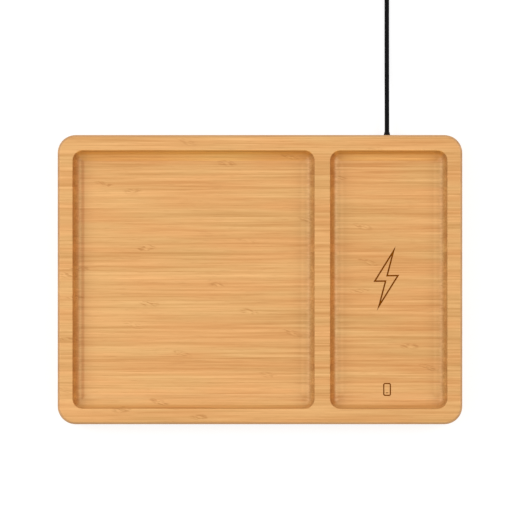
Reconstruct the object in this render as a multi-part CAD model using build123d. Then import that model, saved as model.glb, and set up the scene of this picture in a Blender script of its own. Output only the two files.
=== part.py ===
"""Wireless charging tray: a bamboo block with two routed pockets, a charger under one of them.

Millimetres, +Z up, +X right, +Y to the back edge where the lead leaves.
The origin is the middle of the tray's footprint, on the surface that its feet stand on.
"""
import os
from math import pi, radians, sqrt, tan

from build123d import *

# ---------------------------------------------------------------- driving dimensions
# bamboo block
TRAY_W = 270.0
TRAY_D = 193.0
WOOD_T = 18.0
CORNER_R = 12.0
TOP_EDGE_R = 2.0
BOTTOM_EDGE_R = 1.5
SIDE_RIM = 10.3
END_RIM = 10.6
DIVIDER = 11.0
PHONE_W = 77.6
POCKET_DEPTH = 7.5
POCKET_CORNER_R = 6.5
COVE_R = 6.0
POCKET_EDGE_R = 0.8

# feet
FOOT_D = 11.0
FOOT_PROUD = 1.5
FOOT_SUNK = 0.8
FOOT_INSET_X = 13.0
FOOT_INSET_Y = 12.5
FOOT_EDGE_R = 0.5
FOOT_PLAY = 0.1

# marks cut in the phone pocket's floor
CHARGE_X = 84.4
MARK_DEPTH = 0.35
BOLT_STROKE = 1.0
BOLT_Y = 0.8
BOLT_HALF = [(6.2, 21.5), (-8.65, -2.35), (-1.15, -2.3)]
GLYPH_X = 84.9
GLYPH_Y = -73.4
GLYPH_W = 5.2
GLYPH_H = 8.7
GLYPH_CORNER_R = 1.3
GLYPH_STROKE = 0.8
GLYPH_BAR_UP = 2.1
GLYPH_BAR_W = 1.6
GLYPH_BAR_H = 0.5

# charger cavity, cut from below
WEB_OVER_COIL = 2.5
CAVITY_W = 58.0
CAVITY_FRONT = -30.0
CAVITY_BACK = 71.0
CAVITY_CORNER_R = 5.0
COVER_T = 2.0
COVER_LIP = 7.0
COVER_CORNER_R = 5.0
COVER_GAP = 0.15
COVER_CHAMFER = 0.3
BOSS_H = 1.5
BOSS_R = 2.4
PILOT_DEPTH = 1.2

# charging stack
FILM_T = 0.2
FILM_MARGIN = 1.0
COIL_T = 1.2
COIL_STRAND_W = 1.05
COIL_PITCH = 1.25
COIL_INNER_R = 10.5
COIL_TURNS = 10
FERRITE_R = 25.0
FERRITE_T = 1.2
FERRITE_SLOT_W = 2.0
FERRITE_PLAY = 0.3
CARRIER_FLOOR_T = 1.0
CARRIER_WALL_T = 1.5
CARRIER_NOTCH_W = 3.0
CARRIER_NOTCH_H = 5.0
FOAM_MARGIN = 4.0
LEAD_D = 0.8
THERMISTOR_D = 2.4
THERMISTOR_T = 1.0
THERMISTOR_EDGE_R = 0.4
THERMISTOR_LEAD_D = 0.5
THERMISTOR_LEAD_X = 0.45

# circuit board
BOARD_W = 54.0
BOARD_D = 31.0
BOARD_T = 1.2
BOARD_FRONT = 31.0
BOARD_CORNER_R = 1.5
BOARD_HOLE_INSET = 3.5
CHIP_CHAMFER = 0.1

# components on the board: width, depth, height, and their places from the board's middle
CHARGER_CHIP = (5.0, 5.0, 0.9, [(0, 1.6)])
POWER_TRANSISTORS = (3.3, 3.3, 0.9, [(-9.0, -5.5), (-3.0, -5.5), (3.0, -5.5), (9.0, -5.5)])
RESONANT_CAPACITORS = (3.2, 2.5, 1.8, [(-6.0, -10.5), (6.0, -10.5), (10.4, -10.5), (14.8, -10.5)])
BULK_CAPACITORS = (3.2, 2.5, 2.2, [(18.0, -2.0), (18.0, 1.5), (18.0, 5.0)])
FILTER_INDUCTOR = (6.6, 7.0, 2.9, [(-16.0, 4.0)])
CRYSTAL = (3.2, 2.5, 0.8, [(9.0, 5.6)])
SMALL_CHIP = (1.6, 0.8, 0.6)
SMALL_CHIP_ROWS = [((-9.5, -7.1, 5.0, 12.6), (-1.0, 1.0, 3.0)), ((-3.6, -1.2, 1.2, 3.6), (6.6, 8.6))]

# lead
LEAD_X = 84.9
CORD_D = 3.1
BORE_PLAY = 0.3
WIRE_D = 0.9
WIRE_OFFSET = 0.55
RELIEF_D = 4.4
RELIEF_TIP_D = 3.4
RELIEF_PROUD = 2.2
RELIEF_SUNK = 12.0
CLAMP_W = 14.0
CLAMP_L = 5.0
CLAMP_T = 1.2
JACKET_END_Y = 65.0

# stored length of the lead
STORE_MID_R = 16.2
STORE_Y = 213.0
STORE_COLUMNS = 3
STORE_LAYERS = 4
TIE_T = 0.55
TIE_GAP = 0.05
TIE_ANGLE = 214.0
TIE_SPAN = 28.0

# plug
GRIP_L = 20.0
GRIP_W = 15.4
GRIP_T = 7.6
GRIP_CORNER_R = 1.6
GRIP_FRONT_R = 0.8
GRIP_BACK_R = 1.2
NECK_L = 8.0
NECK_R = 2.9
NECK_TIP_WALL = 0.4
SHELL_L = 12.0
SHELL_W = 12.0
SHELL_T = 4.5
SHELL_WALL = 0.3
SHELL_IN_GRIP = 14.0
LATCH_WINDOW = (2.2, 1.9)
LATCH_X = 2.9
LATCH_BACK = 7.0
TONGUE_T = 1.8
TONGUE_ROOT_L = 9.0
TONGUE_SHORT = 1.0
TONGUE_PLAY = 0.1
CONTACT_W = 1.0
CONTACT_T = 0.15
CONTACTS = [(-3.5, 9.6), (-1.0, 8.6), (1.0, 8.6), (3.5, 9.6)]

# screws: shank diameter, length, head diameter, head height
COVER_SCREW = (2.5, 7.0, 4.8, 1.3)
BOARD_SCREW = (1.9, 3.2, 3.6, 1.1)
RECESS_DEPTH = 0.6
RECESS_SPAN = 0.6
THREAD_PLAY = 0.02
SCREW_TIP_ROOM = 0.3
SHANK_PLAY = 0.1
HEAD_PLAY = 0.05

# how far a cutting shape runs past the surface that it cuts
CUT = 1.0

# ---------------------------------------------------------------- levels and places
WOOD_BOTTOM = FOOT_PROUD
WOOD_TOP = WOOD_BOTTOM + WOOD_T
POCKET_FLOOR = WOOD_TOP - POCKET_DEPTH
CEILING = POCKET_FLOOR - WEB_OVER_COIL
COVER_TOP = WOOD_BOTTOM + COVER_T
BOSS_TOP = COVER_TOP + BOSS_H
BOARD_TOP = BOSS_TOP + BOARD_T
CORD_Z = BOSS_TOP + CORD_D / 2

POCKET_L = TRAY_D - 2 * END_RIM
LARGE_W = TRAY_W - 2 * SIDE_RIM - DIVIDER - PHONE_W
LARGE_X = -TRAY_W / 2 + SIDE_RIM + LARGE_W / 2
PHONE_X = TRAY_W / 2 - SIDE_RIM - PHONE_W / 2
BACK = TRAY_D / 2

CAVITY_L = CAVITY_BACK - CAVITY_FRONT
CAVITY_Y = (CAVITY_BACK + CAVITY_FRONT) / 2
COVER_W = CAVITY_W + 2 * COVER_LIP
COVER_L = CAVITY_L + 2 * COVER_LIP

COIL_TOP = CEILING - FILM_T
COIL_BOTTOM = COIL_TOP - COIL_T
FERRITE_BOTTOM = COIL_BOTTOM - FERRITE_T
CARRIER_BOTTOM = FERRITE_BOTTOM - CARRIER_FLOOR_T
CARRIER_R = FERRITE_R + FERRITE_PLAY + CARRIER_WALL_T
COIL_OUTER_R = COIL_INNER_R + COIL_TURNS * COIL_PITCH
INNER_LEAD_X = CHARGE_X - COIL_INNER_R
OUTER_LEAD_X = CHARGE_X - COIL_OUTER_R
SLOT_LEAD_Z = COIL_BOTTOM - 0.7

BOARD_Y = BOARD_FRONT + BOARD_D / 2
CLAMP_Y = 68.0
CLAMP_SCREW_X = 4.9

STORE_HALF = STORE_COLUMNS * CORD_D / 2
STORE_BOTTOM = TIE_T + TIE_GAP
STORE_H = CORD_D * (1 + (STORE_LAYERS - 1) * sqrt(3) / 2)
STORE_X = LEAD_X - STORE_MID_R - CORD_D
PLUG_AXIS_Y = STORE_Y + STORE_MID_R + CORD_D / 2
PLUG_ENTRY_X = 26.0
PLUG_Z = GRIP_T / 2
PLUG_END = NECK_L + GRIP_L + SHELL_L
SHELL_START = NECK_L + GRIP_L - SHELL_IN_GRIP
TONGUE_ROOT_T = SHELL_T - 2 * SHELL_WALL - TONGUE_PLAY

# the lead's route outside the tray, and from the stored length to the plug
CORD_ROUTE = [
    (LEAD_X, BACK, CORD_Z),
    (LEAD_X, 110.5, CORD_Z),
    (LEAD_X, 133.0, 3.2),
    (LEAD_X, 157.0, CORD_D / 2),
    (LEAD_X, 183.0, 1.65),
    (LEAD_X, 207.0, 2.15),
]
TAIL_ROUTE = [
    (60.0, PLUG_AXIS_Y, 10.1),
    (51.0, PLUG_AXIS_Y, 9.7),
    (42.0, PLUG_AXIS_Y, 7.1),
    (34.0, PLUG_AXIS_Y, PLUG_Z),
    (PLUG_ENTRY_X, PLUG_AXIS_Y, PLUG_Z),
]


# ---------------------------------------------------------------- helpers
def slab(width, depth, corner, bottom, top, x=0.0, y=0.0):
    """A flat plate with rounded plan corners, between two levels."""
    outline = RectangleRounded(width, depth, corner)
    return Pos(x, y, bottom) * extrude(outline, top - bottom)


def block(width, depth, height, x, y, bottom):
    """A plain box standing on a level."""
    return Pos(x, y, bottom + height / 2) * Box(width, depth, height)


def disc(radius, bottom, top, x=0.0, y=0.0):
    """A round plate between two levels."""
    return Pos(x, y, (bottom + top) / 2) * Cylinder(radius, top - bottom)


def rod_y(radius, start, end, x, z):
    """A round rod along Y."""
    return Pos(x, (start + end) / 2, z) * Rot(X=90) * Cylinder(radius, end - start)


def chip(width, depth, height, x, y):
    """A small flat component with softened edges, standing on the board."""
    body = block(width, depth, height, CHARGE_X + x, BOARD_Y + y, BOARD_TOP)
    return chamfer(body.edges().group_by(Axis.Z)[-1], CHIP_CHAMFER)


def chips(width, depth, height, places):
    """Equal components at several places on the board."""
    return [chip(width, depth, height, x, y) for x, y in places]


def arc_radii(points):
    """The radius at each corner of a route: 0.45 of the shorter run over tan(half the turn)."""
    radii = []
    for before, here, after in zip(points, points[1:], points[2:]):
        run_in = Vector(*here) - Vector(*before)
        run_out = Vector(*after) - Vector(*here)
        half_turn = radians(run_in.get_angle(run_out)) / 2
        radii.append(0.45 * min(run_in.length, run_out.length) / tan(half_turn))
    return radii


def tube(points, diameter, label):
    """A round tube along straight runs joined by tangent arcs."""
    radii = arc_radii(points)
    path = FilletPolyline(*points, radius=radii)
    section = Plane(origin=path @ 0, z_dir=path % 0) * Circle(diameter / 2)
    solid = sweep(section, path=path)
    expected = pi * diameter ** 2 / 4 * path.length
    print(f"{label}: length {path.length:.1f}, radii {[round(r, 1) for r in radii]},",
          f"volume {solid.volume:.2f} of {expected:.2f}")
    return solid


def wire(points, diameter, bend):
    """A short wire whose corners all have one bend radius."""
    path = FilletPolyline(*points, radius=bend)
    section = Plane(origin=path @ 0, z_dir=path % 0) * Circle(diameter / 2)
    return sweep(section, path=path)


def cross_recess(depth, size):
    """The cross cut in a screw's head, with its mouth at Z = 0, cutting towards -Z."""
    bar = Pos(0, 0, -depth / 2) * Box(size, size / 4, depth)
    return bar + Rot(Z=90) * bar


def countersunk_screw(shank, length, head, head_h):
    """A pointed countersunk screw: its flat head at Z = 0, its shank towards -Z."""
    neck = Pos(0, 0, -head_h / 2) * Rot(X=180) * Cone(head / 2, shank / 2, head_h)
    shaft = disc(shank / 2, -length + shank, -head_h)
    point = Pos(0, 0, -length + shank / 2) * Rot(X=180) * Cone(shank / 2, shank / 10, shank)
    return neck + shaft + point - cross_recess(head_h * RECESS_DEPTH, head * RECESS_SPAN)


def pan_screw(shank, length, head, head_h):
    """A pan-head screw: its head stands on Z = 0, its shank goes down."""
    cap = fillet(disc(head / 2, 0, head_h).edges().group_by(Axis.Z)[-1], head_h * 0.4)
    shaft = disc(shank / 2, -length, 0)
    return cap + shaft - Pos(0, 0, head_h) * cross_recess(head_h * RECESS_DEPTH, head * RECESS_SPAN)


def grid(xs, ys):
    """Every pair of an x and a y."""
    return [(x, y) for y in ys for x in xs]


COVER_SCREWS = [
    (CHARGE_X + side * (COVER_W - COVER_LIP) / 2, CAVITY_Y + along * (COVER_L - COVER_LIP) / 2)
    for side, along in grid((-1, 1), (-1, 0, 1))
]
BOARD_SCREWS = [
    (CHARGE_X + side, BOARD_Y + along)
    for side, along in grid((BOARD_HOLE_INSET - BOARD_W / 2, BOARD_W / 2 - BOARD_HOLE_INSET),
                            (BOARD_HOLE_INSET - BOARD_D / 2, BOARD_D / 2 - BOARD_HOLE_INSET))
]
CLAMP_SCREWS = [(LEAD_X + side * CLAMP_SCREW_X, CLAMP_Y) for side in (-1, 1)]
FEET = {
    "foot_front_left": (-1, -1),
    "foot_front_right": (1, -1),
    "foot_back_left": (-1, 1),
    "foot_back_right": (1, 1),
}


def foot_place(side, along):
    """The middle of a foot, by the corner of the tray that it is near."""
    return side * (TRAY_W / 2 - FOOT_INSET_X), along * (TRAY_D / 2 - FOOT_INSET_Y)


# ---------------------------------------------------------------- bamboo tray
def pocket(width, x):
    """The space of one routed pocket: upright walls that turn into the floor in a cove."""
    space = slab(width, POCKET_L, POCKET_CORNER_R, POCKET_FLOOR, WOOD_TOP + CUT, x)
    return fillet(space.edges().group_by(Axis.Z)[0], COVE_R)


def inset(points, gap):
    """An outline's corners, in anticlockwise order, each moved inwards so that its sides move by the gap."""
    moved = []
    for before, here, after in zip(points[-1:] + points[:-1], points, points[1:] + points[:1]):
        normal_in = (Vector(*here) - Vector(*before)).normalized().rotate(Axis.Z, 90)
        normal_out = (Vector(*after) - Vector(*here)).normalized().rotate(Axis.Z, 90)
        shift = (normal_in + normal_out) * (gap / (1 + normal_in.dot(normal_out)))
        moved.append(Vector(*here) + shift)
    return moved


def bolt_mark():
    """The outline of a lightning bolt, point-symmetric about its middle."""
    points = BOLT_HALF + [(-x, -y) for x, y in BOLT_HALF]
    outer = make_face(Polyline(*points, close=True))
    inner = make_face(Polyline(*inset(points, BOLT_STROKE), close=True))
    return Pos(CHARGE_X, BOLT_Y) * (outer - inner)


def glyph_mark():
    """A plain outline of a phone: where the phone's foot goes."""
    outer = RectangleRounded(GLYPH_W, GLYPH_H, GLYPH_CORNER_R)
    inner_w = GLYPH_W - 2 * GLYPH_STROKE
    inner = RectangleRounded(inner_w, GLYPH_H - 2 * GLYPH_STROKE, GLYPH_CORNER_R - GLYPH_STROKE)
    bar = Pos(0, -GLYPH_H / 2 + GLYPH_BAR_UP) * Rectangle(GLYPH_BAR_W, GLYPH_BAR_H)
    return Pos(GLYPH_X, GLYPH_Y) * (outer - inner + bar)


def bamboo_tray():
    """The bamboo block with its pockets, marks, charger cavity and holes."""
    body = slab(TRAY_W, TRAY_D, CORNER_R, WOOD_BOTTOM, WOOD_TOP)
    body = fillet(body.edges().group_by(Axis.Z)[-1], TOP_EDGE_R)
    body = fillet(body.edges().group_by(Axis.Z)[0], BOTTOM_EDGE_R)
    body -= pocket(LARGE_W, LARGE_X)
    body -= pocket(PHONE_W, PHONE_X)
    mouth = [e for e in body.edges().group_by(Axis.Z)[-1]
             if abs(e.center().X) < TRAY_W / 2 - SIDE_RIM / 2 and abs(e.center().Y) < BACK - END_RIM / 2]
    body = fillet(mouth, POCKET_EDGE_R)
    for mark in (bolt_mark(), glyph_mark()):
        body -= Pos(0, 0, POCKET_FLOOR - MARK_DEPTH) * extrude(mark, MARK_DEPTH * 2)

    # from below: the cavity, the step for the cover, and the holes
    body -= slab(CAVITY_W, CAVITY_L, CAVITY_CORNER_R, WOOD_BOTTOM - CUT, CEILING, CHARGE_X, CAVITY_Y)
    body -= slab(COVER_W, COVER_L, COVER_CORNER_R, WOOD_BOTTOM - CUT, COVER_TOP, CHARGE_X, CAVITY_Y)
    hole_top = WOOD_BOTTOM + COVER_SCREW[1] + SCREW_TIP_ROOM
    for x, y in COVER_SCREWS:
        body -= disc(COVER_SCREW[0] / 2 + THREAD_PLAY, COVER_TOP - CUT, hole_top, x, y)
    for side, along in FEET.values():
        x, y = foot_place(side, along)
        body -= disc(FOOT_D / 2 + FOOT_PLAY, WOOD_BOTTOM - CUT, WOOD_BOTTOM + FOOT_SUNK, x, y)
    body -= rod_y(CORD_D / 2 + BORE_PLAY, CAVITY_BACK - CUT, BACK + CUT, LEAD_X, CORD_Z)
    body -= rod_y(RELIEF_D / 2, BACK - RELIEF_SUNK, BACK + CUT, LEAD_X, CORD_Z)
    return body


# ---------------------------------------------------------------- underside
def foot(side, along):
    """A round rubber foot, set into the wood."""
    x, y = foot_place(side, along)
    body = disc(FOOT_D / 2, 0, FOOT_PROUD + FOOT_SUNK, x, y)
    return fillet(body.edges().group_by(Axis.Z)[0], FOOT_EDGE_R)


def bottom_cover():
    """The plate that closes the cavity, with bosses for the board and the lead's clamp."""
    plate = slab(COVER_W - 2 * COVER_GAP, COVER_L - 2 * COVER_GAP, COVER_CORNER_R - COVER_GAP,
                 WOOD_BOTTOM, COVER_TOP, CHARGE_X, CAVITY_Y)
    plate = chamfer(plate.edges().group_by(Axis.Z)[0], COVER_CHAMFER)
    for x, y in BOARD_SCREWS:
        plate += disc(BOSS_R, COVER_TOP, BOSS_TOP, x, y)
    plate += block(CLAMP_W, CLAMP_L, BOSS_H, LEAD_X, CLAMP_Y, COVER_TOP)
    for x, y in BOARD_SCREWS + CLAMP_SCREWS:
        plate -= disc(BOARD_SCREW[0] / 2 + THREAD_PLAY, COVER_TOP - PILOT_DEPTH, BOSS_TOP + CUT, x, y)
    shank, _, head, head_h = COVER_SCREW
    for x, y in COVER_SCREWS:
        plate -= disc(shank / 2 + SHANK_PLAY, WOOD_BOTTOM - CUT, COVER_TOP + CUT, x, y)
        sink = Cone(head / 2 + HEAD_PLAY, shank / 2 + HEAD_PLAY, head_h)
        plate -= Pos(x, y, WOOD_BOTTOM + head_h / 2) * sink
    return plate


def cover_screws():
    """The countersunk screws of the cover, driven upwards into the wood."""
    return [Pos(x, y, WOOD_BOTTOM) * Rot(X=180) * countersunk_screw(*COVER_SCREW) for x, y in COVER_SCREWS]


# ---------------------------------------------------------------- charging stack
def transmitter_coil():
    """A flat spiral of one flat strand, made of half circles that grow by half a pitch."""
    def spiral(shift):
        arcs = []
        for half in range(2 * COIL_TURNS):
            centre = (-(half % 2) * COIL_PITCH / 2, 0)
            radius = COIL_INNER_R + half * COIL_PITCH / 2 + shift
            start = 180 if half % 2 == 0 else 0
            arcs.append(CenterArc(centre, radius, start, -180))
        return arcs
    inner = spiral(-COIL_STRAND_W / 2)
    outer = spiral(COIL_STRAND_W / 2)
    caps = [Line(inner[0] @ 0, outer[0] @ 0), Line(inner[-1] @ 1, outer[-1] @ 1)]
    face = make_face(Curve() + inner + outer + caps)
    return Pos(CHARGE_X, 0, COIL_BOTTOM) * extrude(face, COIL_T)


def ferrite_shield():
    """The ferrite disc under the coil, slotted for the leads that come out of its middle."""
    plate = disc(FERRITE_R, FERRITE_BOTTOM, COIL_BOTTOM, CHARGE_X)
    slot_l = FERRITE_R + 2 * FERRITE_SLOT_W
    for x in (INNER_LEAD_X, CHARGE_X):
        plate -= block(FERRITE_SLOT_W, slot_l, 3 * FERRITE_T, x, FERRITE_R / 2, FERRITE_BOTTOM - FERRITE_T)
    return plate


def coil_carrier():
    """The moulded cup that holds the ferrite and the coil, notched where the leads leave."""
    cup = disc(CARRIER_R, CARRIER_BOTTOM, COIL_TOP, CHARGE_X)
    cup -= disc(CARRIER_R - CARRIER_WALL_T, FERRITE_BOTTOM, COIL_TOP + CUT, CHARGE_X)
    for x in (INNER_LEAD_X, CHARGE_X, OUTER_LEAD_X):
        cup -= block(CARRIER_NOTCH_W, CARRIER_R, CARRIER_NOTCH_H, x, CARRIER_R / 2 + 2 * CUT, FERRITE_BOTTOM)
    return cup


def coil_leads():
    """The coil's two ends: one under the turns through the ferrite's slot, one beside them."""
    pad_z = BOARD_TOP + LEAD_D / 2
    inner = wire([
        (INNER_LEAD_X, 0, COIL_BOTTOM),
        (INNER_LEAD_X, 0, SLOT_LEAD_Z),
        (INNER_LEAD_X, BOARD_FRONT - 1, SLOT_LEAD_Z),
        (INNER_LEAD_X, BOARD_FRONT + 3, pad_z),
        (INNER_LEAD_X, BOARD_FRONT + 5, pad_z),
    ], LEAD_D, 0.6)
    lead_z = COIL_BOTTOM + COIL_T / 2
    outer = wire([
        (OUTER_LEAD_X, 0.0, lead_z),
        (OUTER_LEAD_X, 20.0, lead_z),
        (OUTER_LEAD_X + 4, BOARD_FRONT - 1, lead_z),
        (OUTER_LEAD_X + 8, BOARD_FRONT + 3, pad_z),
        (OUTER_LEAD_X + 8, BOARD_FRONT + 5, pad_z),
    ], LEAD_D, 0.8)
    return [inner, outer]


def thermistor():
    """The bead in the middle of the coil that feels its heat."""
    bead = disc(THERMISTOR_D / 2, COIL_BOTTOM, COIL_BOTTOM + THERMISTOR_T, CHARGE_X)
    return fillet(bead.edges().group_by(Axis.Z)[-1], THERMISTOR_EDGE_R)


def thermistor_leads():
    """Two thin wires from the bead, through the ferrite's middle slot, to the board."""
    pad_z = BOARD_TOP + THERMISTOR_LEAD_D / 2
    leads = []
    for side in (-1, 1):
        x = CHARGE_X + side * THERMISTOR_LEAD_X
        leads.append(wire([
            (x, 0, COIL_BOTTOM),
            (x, 0, SLOT_LEAD_Z),
            (x, BOARD_FRONT - 1, SLOT_LEAD_Z),
            (x, BOARD_FRONT + 2, pad_z),
            (x, BOARD_FRONT + 3, pad_z),
        ], THERMISTOR_LEAD_D, 0.5))
    return leads


# ---------------------------------------------------------------- circuit board
def circuit_board():
    """The board, with a hole at each corner."""
    board = slab(BOARD_W, BOARD_D, BOARD_CORNER_R, BOSS_TOP, BOARD_TOP, CHARGE_X, BOARD_Y)
    for x, y in BOARD_SCREWS:
        board -= disc(BOARD_SCREW[0] / 2 + SHANK_PLAY, BOSS_TOP - CUT, BOARD_TOP + CUT, x, y)
    return board


def chip_parts():
    """Small chip resistors and capacitors, in rows round the charger chip."""
    parts = []
    for xs, ys in SMALL_CHIP_ROWS:
        parts += chips(*SMALL_CHIP, grid(xs, ys))
    return parts


# ---------------------------------------------------------------- lead inside the tray
def strain_relief():
    """The rubber bush in the back edge, with a short tapered nose that the lead leaves by."""
    bush = rod_y(RELIEF_D / 2, BACK - RELIEF_SUNK, BACK, LEAD_X, CORD_Z)
    nose = Pos(LEAD_X, BACK + RELIEF_PROUD / 2, CORD_Z) * Rot(X=-90)
    bush += nose * Cone(RELIEF_D / 2, RELIEF_TIP_D / 2, RELIEF_PROUD)
    return bush - rod_y(CORD_D / 2, BACK - RELIEF_SUNK - CUT, BACK + RELIEF_PROUD + CUT, LEAD_X, CORD_Z)


def cord_wires():
    """The four cores, fanned out from the jacket's end to their pads on the board."""
    spread = {"wire_red": (-1, 1, -6.0), "wire_white": (-1, -1, -2.0),
              "wire_green": (1, -1, 2.0), "wire_black": (1, 1, 6.0)}
    pad_z = BOARD_TOP + WIRE_D / 2
    cores = {}
    for name, (side, up, pad_x) in spread.items():
        x = LEAD_X + side * WIRE_OFFSET
        z = CORD_Z + up * WIRE_OFFSET
        straight = 1.15 - up * 0.35
        cores[name] = wire([
            (x, JACKET_END_Y, z),
            (x, JACKET_END_Y - straight, z),
            (CHARGE_X + pad_x, JACKET_END_Y - 1.7 - straight, pad_z + 0.3),
            (CHARGE_X + pad_x, JACKET_END_Y - 6.5, pad_z),
        ], WIRE_D, 0.5)
    return cores


def cord_clamp():
    """The saddle that holds the jacket down on the cover's boss."""
    saddle = block(CLAMP_W, CLAMP_L, CLAMP_T, LEAD_X, CLAMP_Y, BOSS_TOP)
    reach = (CLAMP_Y - CLAMP_L / 2, CLAMP_Y + CLAMP_L / 2)
    outer_r = CORD_D / 2 + CLAMP_T
    saddle += rod_y(outer_r, *reach, LEAD_X, CORD_Z)
    saddle += block(2 * outer_r, CLAMP_L, CORD_D / 2, LEAD_X, CLAMP_Y, BOSS_TOP)
    saddle -= block(4 * outer_r, CLAMP_L + CUT, outer_r, LEAD_X, CLAMP_Y, BOSS_TOP - outer_r)
    saddle -= rod_y(CORD_D / 2, reach[0] - CUT, reach[1] + CUT, LEAD_X, CORD_Z)
    saddle -= block(CORD_D, CLAMP_L + CUT, CORD_D / 2, LEAD_X, CLAMP_Y, BOSS_TOP)
    for x, y in CLAMP_SCREWS:
        saddle -= disc(BOARD_SCREW[0] / 2 + SHANK_PLAY, BOSS_TOP - CUT, BOSS_TOP + CLAMP_T + CUT, x, y)
    return saddle


def pan_screws(places, seat):
    """Pan-head screws that stand on one level."""
    return [Pos(x, y, seat) * pan_screw(*BOARD_SCREW) for x, y in places]


# ---------------------------------------------------------------- stored lead
def cord_coil():
    """The outer shape of the neatly wound spare length."""
    section = Rectangle(2 * STORE_HALF, STORE_H)
    section = fillet(section.vertices(), CORD_D / 2)
    ring = Plane.XZ * Pos(STORE_MID_R, STORE_BOTTOM + STORE_H / 2) * section
    return Pos(STORE_X, STORE_Y, 0) * revolve(ring, Axis.Z)


def cord_tie():
    """The strap round the wound length, as wide as its span of the ring."""
    inner = Rectangle(2 * (STORE_HALF + TIE_GAP), STORE_H + 2 * TIE_GAP)
    inner = fillet(inner.vertices(), CORD_D / 2)
    outer = Rectangle(2 * (STORE_HALF + TIE_GAP + TIE_T), STORE_H + 2 * (TIE_GAP + TIE_T))
    outer = fillet(outer.vertices(), CORD_D / 2 + TIE_T)
    band = Plane.XZ * Pos(STORE_MID_R, STORE_BOTTOM + STORE_H / 2) * (outer - inner)
    strap = revolve(band, Axis.Z, TIE_SPAN)
    return Pos(STORE_X, STORE_Y, 0) * Rot(Z=TIE_ANGLE) * strap


# ---------------------------------------------------------------- plug
def along_plug(solid):
    """From the plug's own frame (Z along it, from the lead's end) to where it lies."""
    return Pos(PLUG_ENTRY_X, PLUG_AXIS_Y, PLUG_Z) * Rot(Y=-90) * solid


def plug_grip():
    """The moulded grip and its tapered neck, open at the front for the shell."""
    grip = extrude(RectangleRounded(GRIP_T, GRIP_W, GRIP_CORNER_R), GRIP_L)
    grip = fillet(grip.edges().group_by(Axis.Z)[-1], GRIP_FRONT_R)
    grip = Pos(0, 0, NECK_L) * fillet(grip.edges().group_by(Axis.Z)[0], GRIP_BACK_R)
    neck_l = NECK_L + CUT
    grip += Pos(0, 0, neck_l / 2) * Cone(CORD_D / 2 + NECK_TIP_WALL, NECK_R, neck_l)
    grip -= block(SHELL_T, SHELL_W, GRIP_L, 0, 0, SHELL_START)
    return along_plug(grip)


def plug_shell():
    """The folded metal shell, with its four latch windows."""
    length = PLUG_END - SHELL_START
    shell = block(SHELL_T, SHELL_W, length, 0, 0, SHELL_START)
    shell -= block(SHELL_T - 2 * SHELL_WALL, SHELL_W - 2 * SHELL_WALL, length, 0, 0, SHELL_START)
    for side in (-1, 1):
        shell -= block(SHELL_T + CUT, *LATCH_WINDOW, 0, side * LATCH_X, PLUG_END - LATCH_BACK)
    return along_plug(shell)


def plug_tongue():
    """The insulating tongue inside the shell, on its lower side, and the plug at its root."""
    inside_w = SHELL_W - 2 * SHELL_WALL - TONGUE_PLAY
    root = block(TONGUE_ROOT_T, inside_w, TONGUE_ROOT_L, 0, 0, SHELL_START)
    tongue_l = PLUG_END - TONGUE_SHORT - SHELL_START
    tongue = block(TONGUE_T, inside_w, tongue_l, (TONGUE_T - TONGUE_ROOT_T) / 2, 0, SHELL_START)
    return along_plug(root + tongue)


def plug_contacts():
    """The four flat contacts on the tongue; the outer pair reaches further forward."""
    x = TONGUE_T - TONGUE_ROOT_T / 2 + CONTACT_T / 2
    start = SHELL_START + TONGUE_ROOT_L
    return [along_plug(block(CONTACT_T, CONTACT_W, length, x, y, start)) for y, length in CONTACTS]


# ---------------------------------------------------------------- the whole tray
def build():
    """Every node of the object, by name."""
    nodes = {
        "bamboo_tray": bamboo_tray(),
        "bottom_cover": bottom_cover(),
        "cover_screws": cover_screws(),
        "insulation_film": disc(COIL_OUTER_R + FILM_MARGIN, COIL_TOP, CEILING, CHARGE_X),
        "transmitter_coil": transmitter_coil(),
        "coil_leads": coil_leads(),
        "ferrite_shield": ferrite_shield(),
        "coil_carrier": coil_carrier(),
        "foam_pad": disc(CARRIER_R - FOAM_MARGIN, COVER_TOP, CARRIER_BOTTOM, CHARGE_X),
        "thermistor": thermistor(),
        "thermistor_leads": thermistor_leads(),
        "circuit_board": circuit_board(),
        "charger_chip": chips(*CHARGER_CHIP),
        "power_transistors": chips(*POWER_TRANSISTORS),
        "resonant_capacitors": chips(*RESONANT_CAPACITORS),
        "bulk_capacitors": chips(*BULK_CAPACITORS),
        "filter_inductor": chips(*FILTER_INDUCTOR),
        "crystal": chips(*CRYSTAL),
        "chip_parts": chip_parts(),
        "board_screws": pan_screws(BOARD_SCREWS, BOARD_TOP),
        "cord_inlet": rod_y(CORD_D / 2, JACKET_END_Y, BACK, LEAD_X, CORD_Z),
        "strain_relief": strain_relief(),
        "cord_clamp": cord_clamp(),
        "clamp_screws": pan_screws(CLAMP_SCREWS, BOSS_TOP + CLAMP_T),
        "cord_run": tube(CORD_ROUTE, CORD_D, "cord_run"),
        "cord_coil": cord_coil(),
        "cord_tail": tube(TAIL_ROUTE, CORD_D, "cord_tail"),
        "cord_tie": cord_tie(),
        "plug_grip": plug_grip(),
        "plug_shell": plug_shell(),
        "plug_tongue": plug_tongue(),
        "plug_contacts": plug_contacts(),
    }
    nodes.update(cord_wires())
    nodes.update({name: foot(*corner) for name, corner in FEET.items()})
    return nodes


os.makedirs("parts", exist_ok=True)
for node_name, shape in build().items():
    solids = shape if isinstance(shape, list) else [shape]
    whole = Compound(children=[s for item in solids for s in item.solids()])
    whole.label = node_name
    export_step(whole, f"parts/{node_name}.step")
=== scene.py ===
"""Looks of the bamboo wireless charging tray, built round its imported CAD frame. Metres throughout."""

import math

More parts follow.
